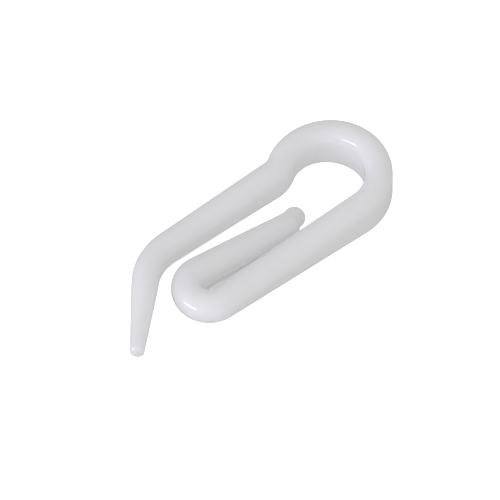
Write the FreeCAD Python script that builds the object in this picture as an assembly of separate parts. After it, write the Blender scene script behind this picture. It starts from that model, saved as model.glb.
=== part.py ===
import FreeCAD, Part
import math
import os

os.makedirs("parts", exist_ok=True)

# Curtain hook moulded in one piece from white nylon: one bar that is bent in a single plane. From its
# free end it runs up the tip, round the knee, along the upper leg, out at the neck and round the loop,
# back along the lower leg, round the small bend and along the short leg to the knob.
# All sizes are in millimetres and degrees.

# The bar stands on edge: its sides are flat and its top and bottom are half round. Width is across the
# bar in the plane of the hook, and height is square to that plane.
bar_width = 2.3
bar_height = 2.95
crown_arcs = 3               # arcs that draw each half round

# Loop, whose eye hangs in a glider or ring. Its radius is that of the bar's centre line.
loop_radius = 4.15
loop_height = 4.65           # at the loop's far end, where the bar is tallest
loop_foot_height = 4.35      # where the loop runs into the lower leg
loop_steps = 10              # sections that shape each half of the loop, besides the first

# Upper leg, and the neck that joins it to the loop.
upper_leg_offset = 3.05      # from the loop's centre to the leg's centre line
upper_leg_length = 10.85
neck_height = 3.9
neck_corner = 1.15           # radius of the inside corner at the neck

# Knee and the tapered tip, which has a flat end with a rounded rim.
knee_radius = 5.2
knee_angle = 46.3
tip_length = 7.25
tip_end_width = 1.2
tip_end_height = 1.25
tip_rim_radius = 0.18

# Lower leg, small bend and short leg, which leave the slot for the curtain's tape between them. The bar
# is at its widest round the small bend, where the hook is strained.
lower_leg_length = 14.5
bend_radius = 1.8
bend_width = 2.7
bend_height = 2.85
short_leg_length = 9.85
short_leg_lean = 4.8         # towards the lower leg
short_leg_end_width = 2.05
short_leg_end_height = 2.1
short_leg_rim_radius = 0.4
knob_diameter = 1.84
knob_offset = 0.28           # from the leg's centre line, away from the slot

UP = FreeCAD.Vector(0, 0, 1)
ORIGIN = FreeCAD.Vector(0, 0, 0)
QUARTER_TURN = 90
HALF_TURN = 180


def along(heading):
    """Unit vector in the hook's plane."""
    angle = math.radians(heading)
    return FreeCAD.Vector(math.cos(angle), math.sin(angle), 0)


def section(spot, heading, size):
    """Upright outline with flat sides and half-round ends, across the bar's centre line at a spot."""
    width, height = size
    side = along(heading + QUARTER_TURN) * (width / 2)
    crown = UP * (width / 2)
    flat = UP * ((height - width) / 2)
    edges = []
    for end in (1, -1):
        rim = []
        for step in range(2 * crown_arcs + 1):
            angle = math.pi * step / (2 * crown_arcs)
            rim.append(spot + (flat + side * math.cos(angle) + crown * math.sin(angle)) * end)
        for first in range(0, 2 * crown_arcs, 2):
            edges.append(Part.Arc(*rim[first:first + 3]).toShape())
        edges.append(Part.makeLine(rim[-1], rim[-1] - flat * (2 * end)))
    return Part.Wire(edges)


def straight(spot, heading, length, size, end_size):
    """Straight run of the bar, tapered from one section to the next."""
    end = spot + along(heading) * length
    return Part.makeLoft([section(spot, heading, size), section(end, heading, end_size)], True, True), end


def rounded_end(run, end, radius):
    """The run with the rim of its end face rounded."""
    end_face = min(run.Faces, key=lambda face: (face.CenterOfMass - end).Length)
    return run.makeFillet(radius, end_face.Edges)


def turn(spot, heading, radius, angle, size):
    """Bend of one section; a positive angle turns left."""
    left = math.copysign(1, angle)
    pivot = spot + along(heading + QUARTER_TURN) * (left * radius)
    bend = Part.Face(section(spot, heading, size)).revolve(pivot, UP * left, abs(angle))
    end = pivot - along(heading + angle + QUARTER_TURN) * (left * radius)
    return bend, end, heading + angle


def rising_turn(spot, heading, radius, angle, size, end_size):
    """Bend to the right whose section changes smoothly from one end to the other."""
    pivot = spot - along(heading + QUARTER_TURN) * radius
    sections = []
    for step in range(loop_steps + 1):
        share = step / loop_steps
        here = heading - angle * share
        place = pivot + along(here + QUARTER_TURN) * radius
        blend = (1 - math.cos(math.pi * share)) / 2
        step_size = [start + (end - start) * blend for start, end in zip(size, end_size)]
        sections.append(section(place, here, step_size))
    return Part.makeLoft(sections, True, False), place, here


bar = (bar_width, bar_height)
neck = (bar_width, neck_height)
loop_top = (bar_width, loop_height)
loop_foot = (bar_width, loop_foot_height)

# The bar is laid out flat, with the loop's centre at the origin and the legs along X. The neck is an
# arc that touches the upper leg's centre line and the loop's.
neck_radius = bar_width / 2 + neck_corner
neck_rise = upper_leg_offset + neck_radius
neck_run = math.sqrt((loop_radius + neck_radius) ** 2 - neck_rise ** 2)
neck_angle = math.degrees(math.atan2(neck_run, neck_rise))
neck_start = FreeCAD.Vector(-neck_run, upper_leg_offset, 0)

# Upper leg, followed from the neck back to the knee, and then the knee and the tip.
upper_leg, knee_start = straight(neck_start, HALF_TURN, upper_leg_length, neck, bar)
knee, tip_start, tip_heading = turn(knee_start, HALF_TURN, knee_radius, knee_angle, bar)
tip_size = (tip_end_width, tip_end_height)
tip, tip_end = straight(tip_start, tip_heading, tip_length, bar, tip_size)
tip = rounded_end(tip, tip_end, tip_rim_radius)

# Neck and loop, from the upper leg round to the lower leg.
neck_bend, loop_start, loop_heading = turn(neck_start, 0, neck_radius, neck_angle, neck)
top_angle = loop_heading + QUARTER_TURN
loop_rise, loop_end, end_heading = rising_turn(
    loop_start, loop_heading, loop_radius, top_angle, neck, loop_top)
loop_fall, leg_start, leg_heading = rising_turn(
    loop_end, end_heading, loop_radius, QUARTER_TURN, loop_top, loop_foot)

# Lower leg, small bend, short leg and knob.
bend_size = (bend_width, bend_height)
lower_leg, bend_start = straight(leg_start, leg_heading, lower_leg_length, loop_foot, bend_size)
bend_angle = -(HALF_TURN + short_leg_lean)
bend, short_start, short_heading = turn(bend_start, leg_heading, bend_radius, bend_angle, bend_size)
short_leg_size = (short_leg_end_width, short_leg_end_height)
short_leg, short_end = straight(short_start, short_heading, short_leg_length, bend_size, short_leg_size)
short_leg = rounded_end(short_leg, short_end, short_leg_rim_radius)
knob_centre = short_end + along(short_heading + QUARTER_TURN) * knob_offset
knob = Part.makeSphere(knob_diameter / 2, knob_centre, along(short_heading))

runs = [tip, knee, neck_bend, loop_rise, loop_fall, lower_leg, bend, short_leg, knob]
hook = upper_leg.multiFuse(runs).removeSplitter().Solids[0]

# At rest the hook lies on its loop and its small bend. The loop is the taller of the two, so the hook's
# plane is pitched a little. The origin is then at the middle of the underside.
reach = loop_radius + lower_leg_length + bend_radius
rest_pitch = math.degrees(math.atan2((loop_height - bend_height) / 2, reach))
hook.rotate(ORIGIN, FreeCAD.Vector(0, 1, 0), -rest_pitch)
box = hook.optimalBoundingBox()
hook.translate(FreeCAD.Vector(-box.Center.x, -box.Center.y, -box.ZMin))
hook.exportStep("parts/hook.step")
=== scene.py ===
import math

import bmesh
import bpy
from mathutils import Matrix, Vector


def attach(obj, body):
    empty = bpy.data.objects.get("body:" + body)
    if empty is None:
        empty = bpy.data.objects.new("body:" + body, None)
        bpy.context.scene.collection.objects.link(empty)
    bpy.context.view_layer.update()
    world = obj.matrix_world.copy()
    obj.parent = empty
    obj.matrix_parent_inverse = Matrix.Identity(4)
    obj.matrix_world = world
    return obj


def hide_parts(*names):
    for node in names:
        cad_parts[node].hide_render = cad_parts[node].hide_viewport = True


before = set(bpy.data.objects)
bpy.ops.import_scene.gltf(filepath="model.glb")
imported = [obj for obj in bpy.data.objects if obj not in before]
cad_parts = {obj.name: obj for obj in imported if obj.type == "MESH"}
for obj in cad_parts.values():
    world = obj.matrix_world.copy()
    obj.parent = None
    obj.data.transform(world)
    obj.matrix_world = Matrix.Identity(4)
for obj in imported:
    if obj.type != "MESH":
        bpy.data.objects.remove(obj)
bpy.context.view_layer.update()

# Hook: one bar of white nylon, injection moulded in one shot and bent in a single plane, so it has no
# joins. The sides of the bar are flat, and its top and bottom are half round.
# Sizes are in millimetres and degrees.
MM = 0.001
bar_size = (2.3, 2.95)               # width in the hook's plane and height square to it
loop_radius = 4.15
loop_height = 4.65
loop_foot_height = 4.35
upper_leg_offset = 3.05
upper_leg_length = 10.85
neck_height = 3.9
neck_corner = 1.15
knee_radius = 5.2
knee_angle = 46.3
tip_length = 7.25
tip_end_size = (1.2, 1.25)
tip_rim_radius = 0.18
lower_leg_length = 14.5
bend_radius = 1.8
bend_size = (2.7, 2.85)              # widest here, where the hook is strained
short_leg_length = 9.85
short_leg_lean = 4.8
short_leg_end_size = (2.05, 2.1)
knob_radius = 0.92
knob_offset = 0.28                   # from the short leg's centre line, away from the slot
knob_fillet = 0.25                   # softens the crease between the short leg and the knob
knob_merge = 0.42                    # over which the short leg is drawn in to the knob
knob_reach = 1.6                     # last part of the short leg, with closer stations
knob_steps = 16                      # rings from the knob's equator to its pole
rim_steps = 8                        # rings round the tip's rim
tip_face_shares = (0.3, 0.62, 0.88)  # rings on the tip's flat end, as shares of its size
run_softening = 0.9                  # over which one run's taper eases into the next one's
bell_reach = 3                       # softening lengths that the bell curve takes in on each side
step_length = 0.2                    # between two stations along the bar
fine_step_length = 0.05              # the same beside the knob
crown_steps = 26                     # faces round each half-round crown
side_steps = 6                       # faces up each flat side
least_side = 0.04                    # height of a flat side where the bar is lower than it is wide


def heading_vector(degrees):
    """Unit vector in the hook's plane."""
    return Vector((math.cos(math.radians(degrees)), math.sin(math.radians(degrees)), 0))


def add_straight(stations, spot, heading, length, size, end_size, spacing=step_length):
    """Stations along a straight run; each has its spot, heading, width and height."""
    steps = math.ceil(length / spacing)
    for step in range(steps):
        share = step / steps
        stations.append((spot + heading_vector(heading) * (length * share), heading,
                         *[a + (b - a) * share for a, b in zip(size, end_size)]))
    return spot + heading_vector(heading) * length, heading


def add_bend(stations, spot, heading, radius, angle, size, end_size):
    """Stations round a bend; a positive angle turns left."""
    left = math.copysign(1, angle)
    pivot = spot + heading_vector(heading + 90) * (left * radius)
    steps = math.ceil((radius + bar_size[0] / 2) * math.radians(abs(angle)) / step_length)
    for step in range(steps):
        share = step / steps
        here = heading + angle * share
        blend = (1 - math.cos(math.pi * share)) / 2
        stations.append((pivot - heading_vector(here + 90) * (left * radius), here,
                         *[a + (b - a) * blend for a, b in zip(size, end_size)]))
    here = heading + angle
    return pivot - heading_vector(here + 90) * (left * radius), here


# The centre line starts at the tip's end, which is found by walking back from the neck.
neck_radius = bar_size[0] / 2 + neck_corner
neck_rise = upper_leg_offset + neck_radius
neck_run = math.sqrt((loop_radius + neck_radius) ** 2 - neck_rise ** 2)
neck_angle = math.degrees(math.atan2(neck_run, neck_rise))
neck_size = (bar_size[0], neck_height)
loop_size = (bar_size[0], loop_height)
loop_foot_size = (bar_size[0], loop_foot_height)
knee_end = Vector((-neck_run - upper_leg_length, upper_leg_offset, 0))
knee_pivot = knee_end - heading_vector(90) * knee_radius
tip_heading = knee_angle
tip_start = knee_pivot + heading_vector(tip_heading + 90) * knee_radius
tip_end = tip_start - heading_vector(tip_heading) * tip_length

stations = []
spot, heading = add_straight(stations, tip_end, tip_heading, tip_length, tip_end_size, bar_size)
spot, heading = add_bend(stations, spot, heading, knee_radius, -knee_angle, bar_size, bar_size)
spot, heading = add_straight(stations, spot, heading, upper_leg_length, bar_size, neck_size)
spot, heading = add_bend(stations, spot, heading, neck_radius, neck_angle, neck_size, neck_size)
spot, heading = add_bend(stations, spot, heading, loop_radius, -(heading + 90), neck_size, loop_size)
spot, heading = add_bend(stations, spot, heading, loop_radius, -90, loop_size, loop_foot_size)
spot, heading = add_straight(stations, spot, heading, lower_leg_length, loop_foot_size, bend_size)
spot, heading = add_bend(stations, spot, heading, bend_radius, -(180 + short_leg_lean),
                         bend_size, bend_size)
knob_share = 1 - knob_reach / short_leg_length
knob_reach_size = [a + (b - a) * knob_share for a, b in zip(bend_size, short_leg_end_size)]
spot, heading = add_straight(stations, spot, heading, short_leg_length - knob_reach, bend_size,
                             knob_reach_size)
short_end, heading = add_straight(stations, spot, heading, knob_reach, knob_reach_size,
                                  short_leg_end_size, fine_step_length)

# Sizes along the bar, with each run's taper eased into the next one's.
spots = [station[0] for station in stations]
travel = [0.0]
for before, after in zip(spots, spots[1:]):
    travel.append(travel[-1] + (after - before).length)
bar_length = travel[-1] + (short_end - spots[-1]).length


def eased(values):
    """Running average weighted by a bell curve along the bar, mirrored through the bar's two ends."""
    out = []
    for middle in travel:
        total = weight_sum = 0.0
        for place, value in zip(travel, values):
            gap = (place - middle) / run_softening
            if abs(gap) < bell_reach:
                for mirrored_gap, mirrored_value in (
                        (gap, value),
                        ((-place - middle) / run_softening, 2 * values[0] - value),
                        ((2 * travel[-1] - place - middle) / run_softening, 2 * values[-1] - value)):
                    weight = math.exp(-mirrored_gap ** 2 / 2)
                    total += weight * mirrored_value
                    weight_sum += weight
        out.append(total / weight_sum)
    return out


widths = eased([station[2] for station in stations])
heights = eased([station[3] for station in stations])


def outline(width, height):
    """Section of the bar as pairs across and up: over a crown, down a side, and the same again."""
    half = width / 2
    flat = max(height - width, least_side) / 2
    crown = height / 2 - flat
    pairs = []
    for end in (1, -1):
        for step in range(crown_steps + 1):
            angle = math.pi * step / crown_steps
            pairs.append((end * half * math.cos(angle), end * (flat + crown * math.sin(angle))))
        for step in range(1, side_steps):
            pairs.append((-end * half, end * flat * (1 - 2 * step / side_steps)))
    return pairs


def placed(pairs, spot, heading):
    """Points of a section that stands across the bar at a spot."""
    side = heading_vector(heading + 90)
    return [spot + side * across + Vector((0, 0, rise)) for across, rise in pairs]


def rim_inset(back, radius):
    """How far a rounded rim draws the section in, at a distance back from the end face."""
    return radius - math.sqrt(radius ** 2 - max(radius - back, 0) ** 2)


# The tip is cut off flat, with a small round on its rim.
rings = []
for share in tip_face_shares:
    flat_end = [(size - 2 * tip_rim_radius) * share for size in tip_end_size]
    rings.append(placed(outline(*flat_end), tip_end, tip_heading))
for step in range(rim_steps):
    back = tip_rim_radius * (1 - math.cos(math.pi / 2 * step / rim_steps))
    inset = rim_inset(back, tip_rim_radius)
    size = [end + (full - end) * back / tip_length - 2 * inset
            for end, full in zip(tip_end_size, bar_size)]
    rings.append(placed(outline(*size), tip_end + heading_vector(tip_heading) * back, tip_heading))

# Bar from the tip's rim to the short leg's end, where the knob takes over.
sections = [(station[0], station[1], place, width, height)
            for station, place, width, height in zip(stations, travel, widths, heights)
            if place > tip_rim_radius]
sections.append((short_end, heading, bar_length, *short_leg_end_size))


def knob_outline(pairs, back):
    """A section of the short leg near its end, drawn in to the knob and joined with the knob's ball."""
    nearness = max(1 - back / knob_merge, 0)
    drawn = nearness ** 2 * (3 - 2 * nearness)
    joined = []
    for across, rise in pairs:
        reach = math.hypot(across, rise)
        aside = knob_offset * across / reach
        widest = aside + math.sqrt(knob_radius ** 2 - knob_offset ** 2 + aside ** 2)
        ball = aside + math.sqrt(knob_radius ** 2 - back ** 2 - knob_offset ** 2 + aside ** 2)
        leg = reach + (widest - reach) * drawn
        corner = max(knob_fillet - abs(leg - ball), 0) ** 2 / (4 * knob_fillet)
        grown = max(leg, ball) + corner * min(back / knob_fillet, 1) * abs(across) / reach
        joined.append((across * grown / reach, rise * grown / reach))
    return joined


# The short leg's top and underside also come down to the height of the knob.
for spot, here, place, width, height in sections:
    back = bar_length - place
    settle = max(1 - back / knob_reach, 0) ** 2 * (short_leg_end_size[1] - 2 * knob_radius)
    pairs = outline(width, height - settle)
    if back ** 2 < knob_radius ** 2 - knob_offset ** 2:
        pairs = knob_outline(pairs, back)
    rings.append(placed(pairs, spot, here))

# Free half of the knob's ball, with points in line with those of the last section.
knob_turns = [math.atan2(rise, across - knob_offset) for across, rise in pairs]
for step in range(1, knob_steps):
    slope = math.pi / 2 * step / knob_steps
    chord = knob_radius * math.cos(slope)
    pairs = [(knob_offset + chord * math.cos(turn), chord * math.sin(turn)) for turn in knob_turns]
    rings.append(placed(pairs, short_end + heading_vector(heading) * (knob_radius * math.sin(slope)),
                        heading))
knob_pole = (short_end + heading_vector(heading) * knob_radius
             + heading_vector(heading + 90) * knob_offset)

# The bar's skin. The hook lies on its loop and its small bend, so it is pitched a little, and its box
# stands on the frame's origin as the solid's does.
skin = bmesh.new()
loops = [[skin.verts.new(point * MM) for point in points] for points in rings]
for first, second in zip(loops, loops[1:]):
    for index in range(len(first)):
        following = (index + 1) % len(first)
        skin.faces.new((first[index], first[following], second[following], second[index]))
tip_point = skin.verts.new(tip_end * MM)
knob_point = skin.verts.new(knob_pole * MM)
for loop, point in ((loops[0], tip_point), (loops[-1], knob_point)):
    for index in range(len(loop)):
        skin.faces.new((loop[index], loop[(index + 1) % len(loop)], point))
bmesh.ops.recalc_face_normals(skin, faces=skin.faces)
for face in skin.faces:
    face.smooth = True
support_span = loop_radius + lower_leg_length + bend_radius
rest_pitch = math.atan2((loop_height - bend_size[1]) / 2, support_span)
pitch = Matrix.Rotation(-rest_pitch, 4, "Y")
bmesh.ops.transform(skin, matrix=pitch, verts=skin.verts)
low = Vector([min(v.co[axis] for v in skin.verts) for axis in range(3)])
high = Vector([max(v.co[axis] for v in skin.verts) for axis in range(3)])
stand = Vector((-(low.x + high.x) / 2, -(low.y + high.y) / 2, -low.z))
bmesh.ops.translate(skin, vec=stand, verts=skin.verts)
hook_mesh = bpy.data.meshes.new("moulded_hook")
skin.to_mesh(hook_mesh)
skin.free()
moulded_hook = bpy.data.objects.new("moulded_hook", hook_mesh)
bpy.context.scene.collection.objects.link(moulded_hook)
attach(moulded_hook, "root")
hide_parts("hook")

# White nylon, straight from a polished mould: milky and a little translucent, with a soft gloss, faint
# clouding in the plastic and the fine ripple that shrinkage leaves.
nylon = bpy.data.materials.new("white nylon")
nylon.use_nodes = True
nodes, links = nylon.node_tree.nodes, nylon.node_tree.links
nodes.clear()
surface = nodes.new("ShaderNodeOutputMaterial")
plastic = nodes.new("ShaderNodeBsdfPrincipled")
plastic.inputs["IOR"].default_value = 1.53
plastic.inputs["Subsurface Weight"].default_value = 1.0
plastic.inputs["Subsurface Radius"].default_value = (1.0, 1.0, 1.0)
plastic.inputs["Subsurface Scale"].default_value = 0.006
links.new(plastic.outputs["BSDF"], surface.inputs["Surface"])

position = nodes.new("ShaderNodeTexCoord")
ripple = nodes.new("ShaderNodeTexNoise")
ripple.inputs["Scale"].default_value = 900
ripple.inputs["Detail"].default_value = 3
links.new(position.outputs["Object"], ripple.inputs["Vector"])
clouding = nodes.new("ShaderNodeTexNoise")
clouding.inputs["Scale"].default_value = 260
clouding.inputs["Detail"].default_value = 2
links.new(position.outputs["Object"], clouding.inputs["Vector"])
tint = nodes.new("ShaderNodeValToRGB")
tint.color_ramp.elements[0].position = 0.3
tint.color_ramp.elements[0].color = (0.79, 0.79, 0.791, 1)
tint.color_ramp.elements[1].position = 0.7
tint.color_ramp.elements[1].color = (0.82, 0.82, 0.822, 1)
links.new(clouding.outputs["Fac"], tint.inputs["Fac"])
links.new(tint.outputs["Color"], plastic.inputs["Base Color"])
gloss = nodes.new("ShaderNodeMapRange")
gloss.inputs["From Min"].default_value = 0.3
gloss.inputs["From Max"].default_value = 0.7
gloss.inputs["To Min"].default_value = 0.07
gloss.inputs["To Max"].default_value = 0.1
links.new(ripple.outputs["Fac"], gloss.inputs["Value"])
links.new(gloss.outputs["Result"], plastic.inputs["Roughness"])
bump = nodes.new("ShaderNodeBump")
bump.inputs["Strength"].default_value = 0.01
bump.inputs["Distance"].default_value = 0.00003
links.new(ripple.outputs["Fac"], bump.inputs["Height"])
links.new(bump.outputs["Normal"], plastic.inputs["Normal"])
hook_mesh.materials.append(nylon)

# Floor: a plain white sheet under the hook, with a painted glow (emission) that makes it as bright as
# the paper round it.
# It reaches 3 m to each side. The glow is cut off only in the narrow slot, where little of the sky is
# open, and that paints shade there.
floor_mesh = bpy.data.meshes.new("floor")
floor_reach = 3.0
floor_mesh.from_pydata([(-floor_reach, -floor_reach, 0), (floor_reach, -floor_reach, 0),
                        (floor_reach, floor_reach, 0), (-floor_reach, floor_reach, 0)],
                       [], [(0, 1, 2, 3)])
floor = bpy.data.objects.new("floor", floor_mesh)
bpy.context.scene.collection.objects.link(floor)
floor.visible_diffuse = False        # its bounce would wash out the hook's sides
floor.visible_glossy = False         # and its mirror image as well
paper = bpy.data.materials.new("white sheet")
paper.use_nodes = True
sheet = paper.node_tree.nodes["Principled BSDF"]
sheet.inputs["Base Color"].default_value = (0.93, 0.93, 0.93, 1)
sheet.inputs["Roughness"].default_value = 0.9
sheet.inputs["Specular IOR Level"].default_value = 0.1
# Painted glow: the sheet gives off white light of its own, though it is no lamp.
sheet.inputs["Emission Color"].default_value = (1, 1, 1, 1)
# Painted shade: ambient occlusion turns the sheet's glow down where the sky is closed, so the floor in
# the slot is painted dark.
slot_shade_mask = paper.node_tree.nodes.new("ShaderNodeAmbientOcclusion")
slot_shade_mask.inputs["Distance"].default_value = 0.006
slot_shade_mask.samples = 32
glow = paper.node_tree.nodes.new("ShaderNodeMapRange")
glow.inputs["From Min"].default_value = 0.11
glow.inputs["From Max"].default_value = 0.16
glow.inputs["To Max"].default_value = 0.9
paper.node_tree.links.new(slot_shade_mask.outputs["AO"], glow.inputs["Value"])
paper.node_tree.links.new(glow.outputs["Result"], sheet.inputs["Emission Strength"])
floor_mesh.materials.append(paper)

# Camera: level, long and far off, looking down on the hook as in the photograph. The hook's own length
# runs up to the right at photo_heading, seen from photo_rise above its plane.
photo_size = 500
photo_scale = 12.10                  # pixels for each millimetre
photo_heading = 38.53
photo_rise = 54.22
photo_loop = (328.75, 181.67)        # pixel of the loop's centre
lens = 1500
sensor = 36
turned, tilted = math.radians(photo_heading), math.radians(photo_rise)
right = pitch @ Vector((math.cos(turned), -math.sin(turned), 0))
look = pitch @ Vector((math.sin(turned) * math.cos(tilted), math.cos(turned) * math.cos(tilted),
                       -math.sin(tilted)))
up = right.cross(look)
loop_centre = stand                  # the bar was laid out round the origin
aim = loop_centre + (right * (photo_size / 2 - photo_loop[0])
                     + up * (photo_loop[1] - photo_size / 2)) * (MM / photo_scale)
distance = lens * (photo_size * MM / photo_scale) / sensor
camera_data = bpy.data.cameras.new("camera")
camera_data.lens = lens
camera_data.sensor_width = sensor
camera = bpy.data.objects.new("camera", camera_data)
bpy.context.scene.collection.objects.link(camera)
camera.matrix_world = Matrix.Translation(aim - look * distance) @ Matrix(
    (right, up, -look)).transposed().to_4x4()
bpy.context.scene.camera = camera

# Light: an even white room, two soft lights from the camera's side, and a low, pale lavender window at
# the tip's side, which is the only one that the plastic mirrors.
light_distance = 0.5


def soft_light(name, azimuth, elevation, width, depth, power, colour=(1, 1, 1), mirrored=False):
    """Area light aimed at the hook from an azimuth and an elevation, with or without a mirror image."""
    data = bpy.data.lights.new(name, "AREA")
    data.shape = "RECTANGLE"
    data.size, data.size_y = width, depth
    data.energy = power
    data.color = colour
    light = bpy.data.objects.new(name, data)
    bpy.context.scene.collection.objects.link(light)
    flat = math.cos(math.radians(elevation))
    out = Vector((flat * math.cos(math.radians(azimuth)), flat * math.sin(math.radians(azimuth)),
                  math.sin(math.radians(elevation))))
    light.location = out * light_distance
    light.visible_glossy = mirrored
    light.rotation_mode = "QUATERNION"
    light.rotation_quaternion = out.to_track_quat("Z", "Y")


soft_light("front light", 231.5, 54, 0.2, 0.2, 0.4)
soft_light("low front light", 231.5, 35, 0.3, 0.3, 0.14)
soft_light("window strip", 180, 10, 0.34, 0.09, 1.03, (0.8, 0.77, 1), True)
world = bpy.data.worlds.new("studio")
bpy.context.scene.world = world
world.use_nodes = True
world.node_tree.nodes["Background"].inputs["Color"].default_value = (1, 1, 1, 1)
world.node_tree.nodes["Background"].inputs["Strength"].default_value = 0.545
bpy.context.scene.view_settings.view_transform = "Standard"
